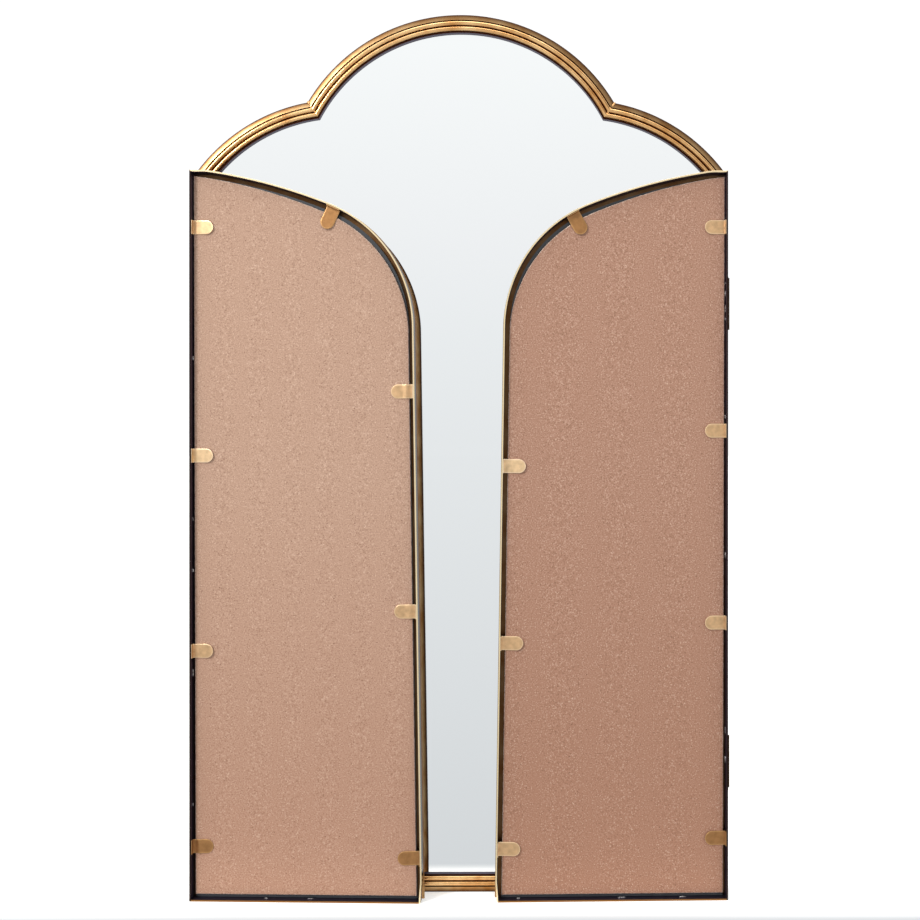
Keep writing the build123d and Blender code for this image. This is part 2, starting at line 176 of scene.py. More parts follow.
poses = {"centre_panel": panelPose((0.0, -10 * mm, 0.0), 0.0, 0)}
for sideName, sideSign in (("left", -1), ("right", 1)):
    hingeJoint = joints[sideName + "_wing_hinge"]
    poses[sideName + "_wing"] = panelPose(hingeJoint["pos_m"], -hingeJoint["range_deg"][0], sideSign)


def depthOf(points, pose):
    # metres back from the rib tops: (point - pin) dot back, less the pin's lead
    return (points - pose["pin"]) @ pose["back"] - section["pinAhead"] * mm


def planOf(points, pose):
    # a point's place in the panel's own plane, as (across, up)
    return np.stack([points @ pose["across"], points @ pose["up"]], axis=-1)


def spaceOf(plan, depth, pose):
    # back from (across, up) and a depth in metres to a place in space
    start = float(pose["pin"] @ pose["back"]) + section["pinAhead"] * mm
    flat = plan[..., :1] * pose["across"] + plan[..., 1:] * pose["up"]
    return flat + (np.asarray(depth)[..., None] + start) * pose["back"]


def depthNodes(tree, pose):
    # the same depth as depthOf, in millimetres, for a material
    place = addNode(tree, "ShaderNodeTexCoord").outputs["Object"]
    along = addNode(tree, "ShaderNodeVectorMath", {0: place, 1: pose["back"].tolist()}, operation="DOT_PRODUCT")
    start = float(pose["pin"] @ pose["back"]) + section["pinAhead"] * mm
    moved = addNode(tree, "ShaderNodeMath", {0: along, 1: start}, operation="SUBTRACT")
    return addNode(tree, "ShaderNodeMath", {0: moved, 1: 1 / mm}, operation="MULTIPLY")


def ownNormal(tree):
    # a face's normal in the piece's own axes, so that it turns with the body that the piece rides on
    normal = addNode(tree, "ShaderNodeNewGeometry").outputs["True Normal"]
    return addNode(
        tree, "ShaderNodeVectorTransform", {0: normal}, vector_type="NORMAL", convert_from="WORLD", convert_to="OBJECT"
    )


brass = {
    # the groove and side tones are brown patina together with painted shade in the hollows and on the deeper walls
    "polished": "#F0C58C", "worn": "#C4894B", "groovePatinaShade": "#331409", "side": "#4A3420", "inside": "#5A5064",
    # edge tones for the cut back edge: brass with a painted highlight on the arches, painted half shade on the rails,
    # painted shade on the hinge stiles
    "cutEdgeHighlight": "#F3DDB2", "cutEdgeHalfShade": "#8A6238", "cutEdgeShade": "#2E2320",
    "mottleMm": 16.0, "mottleFrom": 0.35, "mottleTo": 0.7, "rippleMm": 11.0, "rippleDeep": 0.12, "rippleStrength": 0.15,
    "grooveFrom": 0.55, "grooveTo": 1.45, "patinaShadeStays": 3.0, "patinaShadeGone": 3.6, "sideFrom": 3.2, "sideTo": 4.5,
    "insideSoft": 0.4, "inwardFrom": 0.1, "inwardTo": 0.2, "edgeFrom": 0.1, "edgeTo": 0.05,
    "roughness": 0.25, "grooveRoughness": 0.45, "insideRoughness": 0.16,
}


def insideNodes(tree, middle, depth):
    # 1 on faces behind the skin whose normal points at the panel's middle: (middle - position) dot normal above 0
    place = addNode(tree, "ShaderNodeTexCoord").outputs["Object"]
    normal = ownNormal(tree)
    inward = addNode(tree, "ShaderNodeVectorMath", {0: middle, 1: place}, operation="SUBTRACT")
    flat = addNode(tree, "ShaderNodeVectorMath", {0: inward, 1: (1, 0, 1)}, operation="MULTIPLY")
    unit = addNode(tree, "ShaderNodeVectorMath", {0: flat}, operation="NORMALIZE")
    towards = addNode(tree, "ShaderNodeVectorMath", {0: unit, 1: normal}, operation="DOT_PRODUCT")
    facing = addNode(tree, "ShaderNodeMapRange", {0: towards, 1: brass["inwardFrom"], 2: brass["inwardTo"]})
    skin = section["skinBack"]
    behind = addNode(tree, "ShaderNodeMapRange", {0: depth, 1: skin - brass["insideSoft"], 2: skin})
    return addNode(tree, "ShaderNodeMath", {0: facing, 1: behind}, operation="MULTIPLY")


def agedBrass(name, pose, middle, edge="cutEdgeHighlight"):
    # Roll-formed sheet brass, antiqued and rubbed back: rib tops polished, brown patina and painted shade in the
    # grooves and on the side walls, a mottle about a thumb wide and the faint ripple of hand finishing. Inside, the
    # sheet is bare.
    material, tree, shader = startMaterial(name, Metallic=1.0)
    place = addNode(tree, "ShaderNodeTexCoord").outputs["Object"]
    depth = depthNodes(tree, pose)
    patches = {"Vector": place, "Scale": 1 / (brass["mottleMm"] * mm), "Detail": 4.0}
    mottle = addNode(tree, "ShaderNodeTexNoise", patches)
    rubbed = addNode(tree, "ShaderNodeMapRange", {0: mottle, 1: brass["mottleFrom"], 2: brass["mottleTo"]})
    tones = {"Factor": rubbed, "A": hexToLinear(brass["polished"]), "B": hexToLinear(brass["worn"])}
    colour = addNode(tree, "ShaderNodeMix", tones, data_type="RGBA")
    # the grooves and the deeper side walls darken by depth: patina together with painted shade
    below = addNode(tree, "ShaderNodeMapRange", {0: depth, 1: brass["grooveFrom"], 2: brass["grooveTo"]})
    fading = {0: depth, 1: brass["patinaShadeStays"], 2: brass["patinaShadeGone"], 3: 1.0, 4: 0.0}
    above = addNode(tree, "ShaderNodeMapRange", fading)
    patinaAndShade = addNode(tree, "ShaderNodeMath", {0: below, 1: above}, operation="MULTIPLY")
    wall = addNode(tree, "ShaderNodeMapRange", {0: depth, 1: brass["sideFrom"], 2: brass["sideTo"]})
    inside = insideNodes(tree, middle, depth)
    back = section["archBack"]
    # the cut back edge takes the edge tone given for this part, which paints its light or shade
    onEdge = addNode(tree, "ShaderNodeMapRange", {0: depth, 1: back - brass["edgeFrom"], 2: back - brass["edgeTo"]})
    for share, tone in ((patinaAndShade, "groovePatinaShade"), (wall, "side"), (inside, "inside"), (onEdge, edge)):
        tones = {"Factor": share, "A": colour, "B": hexToLinear(brass[tone])}
        colour = addNode(tree, "ShaderNodeMix", tones, data_type="RGBA")
    rough = addNode(tree, "ShaderNodeMapRange", {0: patinaAndShade, 3: brass["roughness"], 4: brass["grooveRoughness"]})
    dulled = {0: inside, 1: brass["insideRoughness"], 2: rough}
    join(tree, colour, shader, "Base Color")
    join(tree, addNode(tree, "ShaderNodeMath", dulled, operation="MULTIPLY_ADD"), shader, "Roughness")
    waves = {"Vector": place, "Scale": 1 / (brass["rippleMm"] * mm), "Detail": 2.0}
    ripple = addNode(tree, "ShaderNodeTexNoise", waves)
    swells = {"Strength": brass["rippleStrength"], "Distance": brass["rippleDeep"] * mm, "Height": ripple}
    join(tree, addNode(tree, "ShaderNodeBump", swells), shader, "Normal")
    return material


hinge = {
    "bronze": "#2E211A", "rubbed": "#4C3826", "mottleMm": 3.0, "rubbedFrom": 0.42, "rubbedTo": 0.75, "roughness": 0.42,
}


def darkBronze(name):
    # Hinge brass chemically darkened to bronze, rubbed brown where it is handled
    material, tree, shader = startMaterial(name, Metallic=1.0, Roughness=hinge["roughness"])
    place = addNode(tree, "ShaderNodeTexCoord").outputs["Object"]
    patches = {"Vector": place, "Scale": 1 / (hinge["mottleMm"] * mm), "Detail": 4.0}
    mottle = addNode(tree, "ShaderNodeTexNoise", patches)
    rub = addNode(tree, "ShaderNodeMapRange", {0: mottle, 1: hinge["rubbedFrom"], 2: hinge["rubbedTo"]})
    tones = {"Factor": rub, "A": hexToLinear(hinge["bronze"]), "B": hexToLinear(hinge["rubbed"])}
    join(tree, addNode(tree, "ShaderNodeMix", tones, data_type="RGBA"), shader, "Base Color")
    return material


mirror = {
    "silver": "#EFF1F1", "edge": "#9FB9AC", "paint": "#3A3D40", "roughness": 0.012, "edgeRoughness": 0.35,
    "faceFrom": 0.8, "faceTo": 0.9,  # how squarely a face has to look forwards or backwards, as a cosine
}


def silveredGlass(name, pose):
    # Float glass silvered at the back: a clear cool reflection in front, green at the cut edge, grey paint behind
    material, tree, shader = startMaterial(name)
    normal = ownNormal(tree)
    facing = addNode(tree, "ShaderNodeVectorMath", {0: normal, 1: (-pose["back"]).tolist()}, operation="DOT_PRODUCT")
    nearly, squarely = mirror["faceFrom"], mirror["faceTo"]
    front = addNode(tree, "ShaderNodeMapRange", {0: facing, 1: nearly, 2: squarely})
    rear = addNode(tree, "ShaderNodeMapRange", {0: facing, 1: -squarely, 2: -nearly, 3: 1.0, 4: 0.0})
    tones = {"Factor": rear, "A": hexToLinear(mirror["edge"]), "B": hexToLinear(mirror["paint"])}
    sides = addNode(tree, "ShaderNodeMix", tones, data_type="RGBA")
    tones = {"Factor": front, "A": sides, "B": hexToLinear(mirror["silver"])}
    colour = addNode(tree, "ShaderNodeMix", tones, data_type="RGBA")
    rough = addNode(tree, "ShaderNodeMapRange", {0: front, 3: mirror["edgeRoughness"], 4: mirror["roughness"]})
    join(tree, colour, shader, "Base Color")
    join(tree, front, shader, "Metallic")
    join(tree, rough, shader, "Roughness")
    return material


# a point well inside each panel's opening, from which its inner wall is told from its outer one
middles = {
    "centre_panel": (0.0, 0.0, 330 * mm),
    "left_wing": (-118 * mm, 0.0, 300 * mm), "right_wing": (118 * mm, 0.0, 300 * mm),
}
centreBrass = agedBrass("antiquedBrassCentre", poses["centre_panel"], middles["centre_panel"])
paint([name for name in nodes if name.startswith("centre_")], centreBrass)
for body in ("left_wing", "right_wing"):
    pose, middle, suffix = poses[body], middles[body], body.split("_")[0].title()
    # the hinge stile's cut edge gets painted shade and the bottom rail's painted half shade
    paint([body + "_hinge_stile"], agedBrass("antiquedBrassShadedEdge" + suffix, pose, middle, "cutEdgeShade"))
    paint([body + "_bottom_rail"], agedBrass("antiquedBrassHalfShadedEdge" + suffix, pose, middle, "cutEdgeHalfShade"))
    paint([body + "_mirror_glass"], silveredGlass("silveredGlass" + suffix, pose))
hingeNodes = [name for name in nodes if "_hinge_" in name and name.endswith(("leaf", "pin", "rivets"))]
paint(hingeNodes, darkBronze("darkenedHingeBronze"))
paint(["centre_mirror_glass"], silveredGlass("silveredGlassCentre", poses["centre_panel"]))
print("materials on the CAD nodes")

# A wing's bent frame, in its own plane with the hinge edge at 0. Behind the rolled lip its wall stands almost flush,
# and eases in at both ends to meet the hinge stile and the bottom rail.
wingArch = {
    "edgeFromPin": 0.3, "width": 184.7, "height": 573.985, "crown": 125.0, "leanDeg": 0.84, "innerRadius": 105.9,
    "topRadius": 431.8, "lip": 0.45, "lipAtEnds": 1.8, "ease": 18.0, "topShare": 0.3,
    "soften": 0.12, "ribSteps": 9, "steps": 56, "sharpDeg": 25.0,
}


def softCorners(corners, size):
    # a closed profile with each corner cut back by size along both of its edges, or a third of a shorter edge
    cuts = []
    for turn in (1, -1):
        way = np.roll(corners, turn, axis=0) - corners
        length = np.hypot(way[:, 0] + way[:, 1], way[:, 2])[:, None]
        cuts.append(corners + way / length * np.minimum(size, length / 3))
    return np.stack(cuts, axis=1).reshape(-1, corners.shape[1])


def archProfile():
    # the section as (inset, share of the lip, depth); a rib is inset = middle - r cos t, depth = r - r sin t
    radius, t = section["ribWidth"] / 2, np.linspace(0, np.pi, wingArch["ribSteps"])
    ribs = []
    for number in range(2):
        middle = section["firstRib"] + radius + number * (section["ribWidth"] + section["ribGap"])
        ribs.append(np.stack([middle - radius * np.cos(t), 0 * t, radius - radius * np.sin(t)], axis=1))
    face, sheet, back, skin = section["faceWidth"], section["sheet"], section["archBack"], section["skinBack"]
    edge, bevel = section["bandDepth"] + section["lipChamfer"], section["lipChamfer"]
    band, glass = section["bandWidth"], section["glassFace"]
    before = [(0, 0, edge + bevel), (bevel, 0, edge), (band, 0, section["bandDepth"]), (band, 0, radius)]
    after = [
        (face, 0, radius), (face, 0, glass), (face - sheet, 0, glass), (face - sheet, 0, skin), (sheet, 1, skin),
        (sheet, 1, back), (0, 1, back), (0, 1, section["lipDepth"]), (0, 0, section["lipDepth"]),
    ]
    return softCorners(np.concatenate([before, *ribs, after]).astype(float), wingArch["soften"])


def makeWingArch(body):
    # the profile carried up the leaning stile, round the inner arc and along the top arc:
    # stile: across = width - z tan a - inset / cos a; arcs: centre + (R - inset)(cos b, sin b). The top arc's length
    # is taken as a share of its radius, only to place the ease at its end.
    pose, lean = poses[body], radians(wingArch["leanDeg"])
    width, height, straight = wingArch["width"], wingArch["height"], wingArch["height"] - wingArch["crown"]
    innerR, topR, steps = wingArch["innerRadius"], wingArch["topRadius"], wingArch["steps"]
    profile = archProfile()
    tangent = np.array([width - straight * tan(lean), straight])
    innerC = tangent - innerR * np.array([cos(lean), sin(lean)])
    corner = np.array([0.0, height])
    reach, gap = topR - innerR, np.linalg.norm(innerC - corner)
    along = (topR**2 - reach**2 + gap**2) / (2 * gap)
    unit = (innerC - corner) / gap
    topC = corner + unit * along + np.array([unit[1], -unit[0]]) * np.sqrt(topR**2 - along**2)
    change = np.arctan2(*(innerC - topC)[::-1])
    v = np.linspace(0, 1, steps)[:, None]
    runs = (straight, innerR * (change - lean), topR * wingArch["topShare"])
    nearFoot, nearTop = v * runs[0], (1 - v) * runs[2]
    ends = np.concatenate([nearFoot, 0 * v + wingArch["ease"], nearTop])
    share = np.clip(ends / wingArch["ease"], 0, 1)
    lip = wingArch["lipAtEnds"] + (wingArch["lip"] - wingArch["lipAtEnds"]) * share**2 * (3 - 2 * share)
    inset = profile[None, :, 0] + lip * profile[None, :, 1]
    first, second, third = inset[:steps], inset[steps:2 * steps], inset[2 * steps:]
    heel = section["sheet"] + wingArch["lipAtEnds"]
    foot = np.where(first <= heel + 1e-6, 0.0, first)
    z = foot + (innerC[1] + (innerR - first) * sin(lean) - foot) * v
    stile = np.stack([width - z * tan(lean) - first / cos(lean), z], axis=-1)
    b = lean + (change - lean) * v + 0 * second
    bend = innerC + (innerR - second)[..., None] * np.stack([np.cos(b), np.sin(b)], axis=-1)
    lastX = third - topC[0]
    last = np.arctan2(np.sqrt((topR - third) ** 2 - lastX**2), lastX)
    b = change + (last - change) * v
    top = topC + (topR - third)[..., None] * np.stack([np.cos(b), np.sin(b)], axis=-1)
    flat = np.concatenate([stile, bend[1:], top[1:]]) * mm
    hingeLine = float(pose["pin"] @ pose["across"])
    plan = np.stack([hingeLine + (flat[..., 0] + wingArch["edgeFromPin"] * mm) * -pose["side"], flat[..., 1]], axis=-1)
    points = spaceOf(plan, np.broadcast_to(profile[:, 2] * mm, plan.shape[:2]), pose)
    # the bent frame's cut edge gets the painted highlight
    material = agedBrass("antiquedBrassHighlitEdge" + body.split("_")[0].title(), pose, middles[body])
    piece = gridMesh(body + "_bent_frame", points, material, closedAcross=True)
    closeUp(piece, wingArch["sharpDeg"])
    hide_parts(body + "_arch")
    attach(piece, body)


for body in ("left_wing", "right_wing"):
    makeWingArch(body)
print("bent the wings' frames")

fibreboard = {
    "left_wing": {"light": "#B5947F", "dark": "#AB8A75", "low": "#A67E68"},
    # the right wing's board has darker tones than the left's as painted shade; its tan-pink is the same board
    "right_wing": {"light": "#A9816D", "dark": "#9D7863", "low": "#9D735D"},
    "centre_panel": {"light": "#B5947F", "dark": "#AB8A75", "low": "#A67E68"},
    "speck": "#5E3A28", "fibre": "#DCC3AE", "cut": "#EAD3C2", "fibreMm": 1.0, "speckMm": 8.0, "tornMm": 0.9,
    "grainFrom": 0.4, "grainTo": 0.6, "paleFrom": 0.56, "paleTo": 0.72, "paleShare": 0.75,
    "darkFrom": 0.28, "darkTo": 0.45, "darkShare": 0.75, "barkFrom": 0.04, "barkTo": 0.08, "barkShare": 0.6,
    "tornFrom": 0.35, "tornTo": 0.7, "lowFrom": 330.0, "lowTo": 60.0, "lowShare": 0.8,
    "roughness": 0.88, "bumpStrength": 0.5, "bumpDeep": 0.12, "wallReach": 0.3, "tearLimit": 2.0,
    "towardsWall": 1.6, "arris": 0.5, "ragged": 0.12, "steps": 1500, "seed": 7, "sharpDeg": 25.0,
}


def hardboard(name, tone):
    # Thin MDF, hot-pressed from fine wood fibre: even tan-pink, a little redder low down, flecked with short pale
    # fibres and dark bark specks. The fibres are really about 0.1 mm wide; they are drawn as coarse as needed to show.
    material, tree, shader = startMaterial(name, Roughness=fibreboard["roughness"], Specular_IOR_Level=0.2)
    place = addNode(tree, "ShaderNodeTexCoord").outputs["Object"]
    fibres = {"Vector": place, "Scale": 1 / (fibreboard["fibreMm"] * mm), "Detail": 4.0, "Roughness": 0.7}
    fibre = addNode(tree, "ShaderNodeTexNoise", fibres)
    grain = addNode(tree, "ShaderNodeMapRange", {0: fibre, 1: fibreboard["grainFrom"], 2: fibreboard["grainTo"]})
    tones = {"Factor": grain, "A": hexToLinear(tone["dark"]), "B": hexToLinear(tone["light"])}
    colour = addNode(tree, "ShaderNodeMix", tones, data_type="RGBA")
    height = addNode(tree, "ShaderNodeSeparateXYZ", {0: place}).outputs["Z"]
    bark = addNode(tree, "ShaderNodeTexVoronoi", {"Vector": place, "Scale": 1 / (fibreboard["speckMm"] * mm)})
    # each layer: what it follows, its name in the values, its tone, its unit, and whether it fades as that grows
    layers = (
        (height, "low", tone["low"], mm, False), (fibre, "pale", fibreboard["fibre"], 1, False),
        (fibre, "dark", fibreboard["speck"], 1, True), (bark, "bark", fibreboard["speck"], 1, True),
    )
    for value, layer, hexTone, unit, falling in layers:
        share = fibreboard[layer + "Share"]
        ends = {1: fibreboard[layer + "From"] * unit, 2: fibreboard[layer + "To"] * unit}
        ends.update({3: share, 4: 0.0} if falling else {4: share})
        amount = addNode(tree, "ShaderNodeMapRange", {0: value, **ends})
        tones = {"Factor": amount, "A": colour, "B": hexToLinear(hexTone)}
        colour = addNode(tree, "ShaderNodeMix", tones, data_type="RGBA")
    join(tree, colour, shader, "Base Color")
    nap = {"Strength": fibreboard["bumpStrength"], "Distance": fibreboard["bumpDeep"] * mm, "Height": fibre}
    bump = addNode(tree, "ShaderNodeBump", nap)
    join(tree, bump, shader, "Normal")
    return material


def cutFibre(name):
    # The sawn arris of the board: torn pale fibre
    material, tree, shader = startMaterial(name, Roughness=0.95, Specular_IOR_Level=0.1)
    place = addNode(tree, "ShaderNodeTexCoord").outputs["Object"]
    tufts = {"Vector": place, "Scale": 1 / (fibreboard["tornMm"] * mm), "Detail": 4.0}
    torn = addNode(tree, "ShaderNodeTexNoise", tufts)
    share = addNode(tree, "ShaderNodeMapRange", {0: torn, 1: fibreboard["tornFrom"], 2: fibreboard["tornTo"]})
    tones = {"Factor": share, "A": hexToLinear(fibreboard["cut"]), "B": hexToLinear(fibreboard["left_wing"]["dark"])}
    join(tree, addNode(tree, "ShaderNodeMix", tones, data_type="RGBA"), shader, "Base Color")
    return material


def boardOutline(name, pose):
    # the CAD board's outline as evenly spaced (across, up) points, its corners ordered by their angle about its middle;
    # a wing board's hinge edge moves towards the wall by a share that grows from 0 at the foot to 1 at the top
    points = nodePoints(name)
    rear = points[depthOf(points, pose) > section["boardBack"] * mm - 1e-4]
    plan = np.unique(planOf(rear, pose).round(6), axis=0)
    middle = (plan.max(0) + plan.min(0)) / 2
    plan = plan[np.argsort(np.arctan2(plan[:, 1] - middle[1], plan[:, 0] - middle[0]))]
    hingeEdge = plan[:, 0].max() if pose["side"] > 0 else plan[:, 0].min()
    nearWall = np.abs(plan[:, 0] - hingeEdge) < fibreboard["wallReach"] * mm
    share = (plan[:, 1] - plan[:, 1].min()) / np.ptp(plan[:, 1])
    plan[:, 0] += nearWall * share * pose["side"] * fibreboard["towardsWall"] * mm
    loop = np.concatenate([plan, plan[:1]])
    run = np.concatenate([[0], np.cumsum(np.linalg.norm(np.diff(loop, axis=0), axis=1))])
    at = np.linspace(0, run[-1], fibreboard["steps"], endpoint=False)
    return np.stack([np.interp(at, run, loop[:, 0]), np.interp(at, run, loop[:, 1])], axis=1)


def makeBoard(name, body, torn):
    # rings round the outline, from the front face's edge over the sawn edge to the back face's: ring = outline -
    # inset outward, with the back arris cut at 45 degrees and torn at random; one flat face closes each side
    pose = poses[body]
    line = boardOutline(name, pose)
    along = np.roll(line, -1, axis=0) - np.roll(line, 1, axis=0)
    along /= np.linalg.norm(along, axis=1, keepdims=True)
    outward = np.stack([along[:, 1], -along[:, 0]], axis=1)
    random = np.random.default_rng(fibreboard["seed"])
    limit = fibreboard["tearLimit"]
    tear = fibreboard["ragged"] * random.standard_normal((len(line), 2)).clip(-limit, limit)
    arris, front, back = fibreboard["arris"], section["boardFront"], section["boardBack"]
    edge = 0 * tear[:, 0]
    insets = np.stack([edge, tear[:, 0].clip(0), arris + tear[:, 1]], axis=1)
    depths = np.stack([edge + front, back - arris + tear[:, 0] / 2, edge + back], axis=1)
    plan = line[:, None, :] - insets[..., None] * mm * outward[:, None, :]
    material = hardboard("hardboard" + body.split("_")[0].title(), fibreboard[body])
    points = spaceOf(plan, depths * mm, pose)
    piece = gridMesh(name.replace("backing_board", "hardboard"), points, material, closedAlong=True)
    piece.data.materials.append(torn)
    piece.data.polygons.foreach_set("material_index", np.tile([0, 1], len(line)).astype(np.int32))
    closeUp(piece, fibreboard["sharpDeg"])
    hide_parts(name)
    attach(piece, body)


tornFibre = cutFibre("tornFibre")
for name in ("left_wing_backing_board", "right_wing_backing_board", "centre_backing_board"):
    makeBoard(name, bodyOf[name], tornFibre)
print("cut three backing boards")

clip = {
    "strip": 0.7, "width": 11.0, "reach": 16.5, "bend": 1.1, "corner": 0.22, "flat": 7.0, "lift": 1.2,
    "topOfLeg": 15.2, "ridge": 0.9, "ridgeAt": 5.6, "ridgeWide": 1.3, "rimSheen": 1.3, "acrossSteps": 13,
    # clips listed as bright get a painted highlight, and those listed as dull get painted shade, for how the light
    # falls on each
    "bright": ["left_wing_hinge_clip_3", "right_wing_inner_clip_3"],
    "shaded": [
        "left_wing_top_clip", "right_wing_top_clip", "left_wing_inner_clip_1", "left_wing_hinge_clip_1",
        "right_wing_hinge_clip_1",
    ],
    "ridged": ["left_wing_inner_clip_2", "left_wing_hinge_clip_1", "left_wing_inner_clip_3"],
    "tones": {
        "bright": {"middle": "#E9C79B", "rimSheen": "#FBE2C0"}, "satin": {"middle": "#D9B286", "rimSheen": "#F2D5AC"},
        "shaded": {"middle": "#AB7D50", "rimSheen": "#C59B69"},
    },
    "grainMm": 0.5, "mottleMm": 4.0, "mottleFrom": 0.35, "mottleTo": 0.75, "tarnish": 0.72, "legFrom": 13.0,
    "smooth": 0.32, "rough": 0.5, "bumpStrength": 0.15, "bumpDeep": 0.03,
    "legSteps": 5, "bendSteps": 9, "flatSteps": 9, "endSteps": 15, "cornerSteps": 4, "sharpDeg": 60.0,
}


def clipBrass(name, tone):
    # Half-hard brass strip, cut and bent by hand: satin from the rolls, slightly tarnished in patches, and burnished
    # along its rubbed rim, which also carries a painted highlight
    material, tree, shader = startMaterial(name, Metallic=1.0)
    place = addNode(tree, "ShaderNodeTexCoord").outputs["Object"]
    patches = {"Vector": place, "Scale": 1 / (clip["mottleMm"] * mm), "Detail": 4.0}
    mottle = addNode(tree, "ShaderNodeTexNoise", patches)
    patch = addNode(tree, "ShaderNodeMapRange", {0: mottle, 1: clip["mottleFrom"], 2: clip["mottleTo"]})
    base = hexToLinear(tone["middle"])
    tones = {"Factor": patch, "A": base, "B": (*(clip["tarnish"] * channel for channel in base[:3]), 1.0)}
    colour = addNode(tree, "ShaderNodeMix", tones, data_type="RGBA")
    rimSheen = addNode(tree, "ShaderNodeAttribute", attribute_name="rimSheen").outputs["Fac"]
    tones = {"Factor": rimSheen, "A": colour, "B": hexToLinear(tone["rimSheen"])}
    colour = addNode(tree, "ShaderNodeMix", tones, data_type="RGBA")
    join(tree, colour, shader, "Base Color")
    fine = addNode(tree, "ShaderNodeTexNoise", {"Vector": place, "Scale": 1 / (clip["grainMm"] * mm), "Detail": 4.0})
    rough = addNode(tree, "ShaderNodeMapRange", {0: fine, 1: 0.2, 2: 0.8, 3: clip["smooth"], 4: clip["rough"]})
    join(tree, rough, shader, "Roughness")
    nap = {"Strength": clip["bumpStrength"], "Distance": clip["bumpDeep"] * mm, "Height": fine}
    join(tree, addNode(tree, "ShaderNodeBump", nap), shader, "Normal")
    return material


def clipSeat(name, pose):
    # where a CAD clip stands: the foot of its leg on the wall, and the ways in which its tab reaches and widens
    points = nodePoints(name)
    depth = depthOf(points, pose)
    plan = planOf(points, pose)
    middle = (plan.max(0) + plan.min(0)) / 2
    way = middle - plan[depth > clip["legFrom"] * mm].mean(0)
    spread = np.linalg.svd(plan - plan.mean(0), full_matrices=False)[2][0]
    reach = spread * np.sign(spread @ way)
    wide = np.array([-reach[1], reach[0]])
    across = plan @ wide
    seat = reach * (plan @ reach).min() + wide * (across.max() + across.min()) / 2
    toSpace = [spaceOf(vector, 0.0, pose) - spaceOf(0 * vector, 0.0, pose) for vector in (reach, wide)]
    return spaceOf(seat, 0.0, pose), toSpace[0], toSpace[1]


def makeClip(name, body, material):
    # a rounded strip section carried along the bent path: point = seat + reach s + back h + normal b + wide a,
    # where a runs to the half width, which past the last straight is the end's circle sqrt(r^2 - x^2);
    # the rim value, its burnish and painted highlight, falls from 1 at the strip's outline to 0 at the rim's width
    # inside it
    pose = poses[body]
    seat, reachWay, wideWay = clipSeat(name, pose)
    onArch = "_wing_inner_" in name or "_wing_top_" in name
    outward = onArch * (wingArch["lipAtEnds"] - wingArch["lip"])  # the bent frame's wall stands this much further out
    radius, bend, strip, corner = clip["width"] / 2, clip["bend"], clip["strip"], clip["corner"]
    back = section["boardBack"]
    leg = np.linspace(clip["topOfLeg"], back + bend, clip["legSteps"])
    turn = np.linspace(0, np.pi / 2, clip["bendSteps"])[1:]
    reach = clip["reach"] + outward
    straight = np.linspace(bend, reach - radius, clip["flatSteps"])[1:]
    cap = np.linspace(0, np.pi / 2, clip["endSteps"])[1:]
    s = np.concatenate([0 * leg, bend * (1 - np.cos(turn)), straight, reach - radius + radius * np.sin(cap)])
    h = np.concatenate([leg, back + bend * (1 - np.sin(turn)), 0 * straight + back, 0 * cap + back])
    lift = clip["lift"] * np.clip((s - clip["flat"]) / (reach - clip["flat"]), 0, 1)
    if name in clip["ridged"]:
        lift = clip["ridge"] * np.exp(-((s - clip["ridgeAt"]) / clip["ridgeWide"]) ** 2)
    path = np.stack([s, h + lift], axis=1)
    tangent = np.gradient(path, axis=0)
    tangent /= np.linalg.norm(tangent, axis=1, keepdims=True)
    normal = np.stack([-tangent[:, 1], tangent[:, 0]], axis=1)
    past = np.clip(s - (reach - radius), 0, radius)
    halfWidth = np.maximum(np.sqrt(np.maximum(radius**2 - past**2, 0)), 2 * corner)
    steps = clip["cornerSteps"]
    angles = np.concatenate([np.linspace(q, q + np.pi / 2, steps) for q in (0, np.pi / 2, np.pi, 1.5 * np.pi)])
    signA, signB = np.repeat([1, -1, -1, 1], steps), np.repeat([1, 1, -1, -1], steps)
    a = signA * (halfWidth[:, None] - corner) + corner * np.cos(angles)
    b = np.broadcast_to(strip / 2 + signB * (strip / 2 - corner) + corner * np.sin(angles), a.shape)
    shares = np.linspace(1, -1, clip["acrossSteps"] + 2)[1:-1]
    flats = (halfWidth[:, None] - corner) * shares
    first, last = steps, 3 * steps
    a = np.concatenate([a[:, :first], flats, a[:, first:last], -flats, a[:, last:]], axis=1)
    b = np.concatenate([b[:, :first], 0 * flats + strip, b[:, first:last], 0 * flats, b[:, last:]], axis=1)
    fromRim = np.where(past[:, None] > 0, radius - np.hypot(past[:, None], a), radius - np.abs(a))
    rimSheen = np.clip(1 - fromRim / clip["rimSheen"], 0, 1) ** 2
    planar = path[:, None, :] + normal[:, None, :] * b[..., None]
    offset = (planar[..., :1] - outward) * reachWay + planar[..., 1:] * pose["back"] + a[..., None] * wideWay
    points = seat + mm * offset
    piece = gridMesh(name + "_bent", points, material, closedAcross=True)
    setAttribute(piece, "rimSheen", rimSheen)
    closeUp(piece, clip["sharpDeg"])
    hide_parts(name)
    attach(piece, body)


stripBrass = {tone: clipBrass("stripBrass" + tone.title(), values) for tone, values in clip["tones"].items()}
clipNodes = [name for name in nodes if "_clip" in name]
for name in clipNodes:
    # each clip takes the painted-highlight tone, the painted-shade tone, or else plain satin
    tone = "bright" if name in clip["bright"] else "shaded" if name in clip["shaded"] else "satin"
    makeClip(name, bodyOf[name], stripBrass[tone])
print("bent", len(clipNodes), "clips")

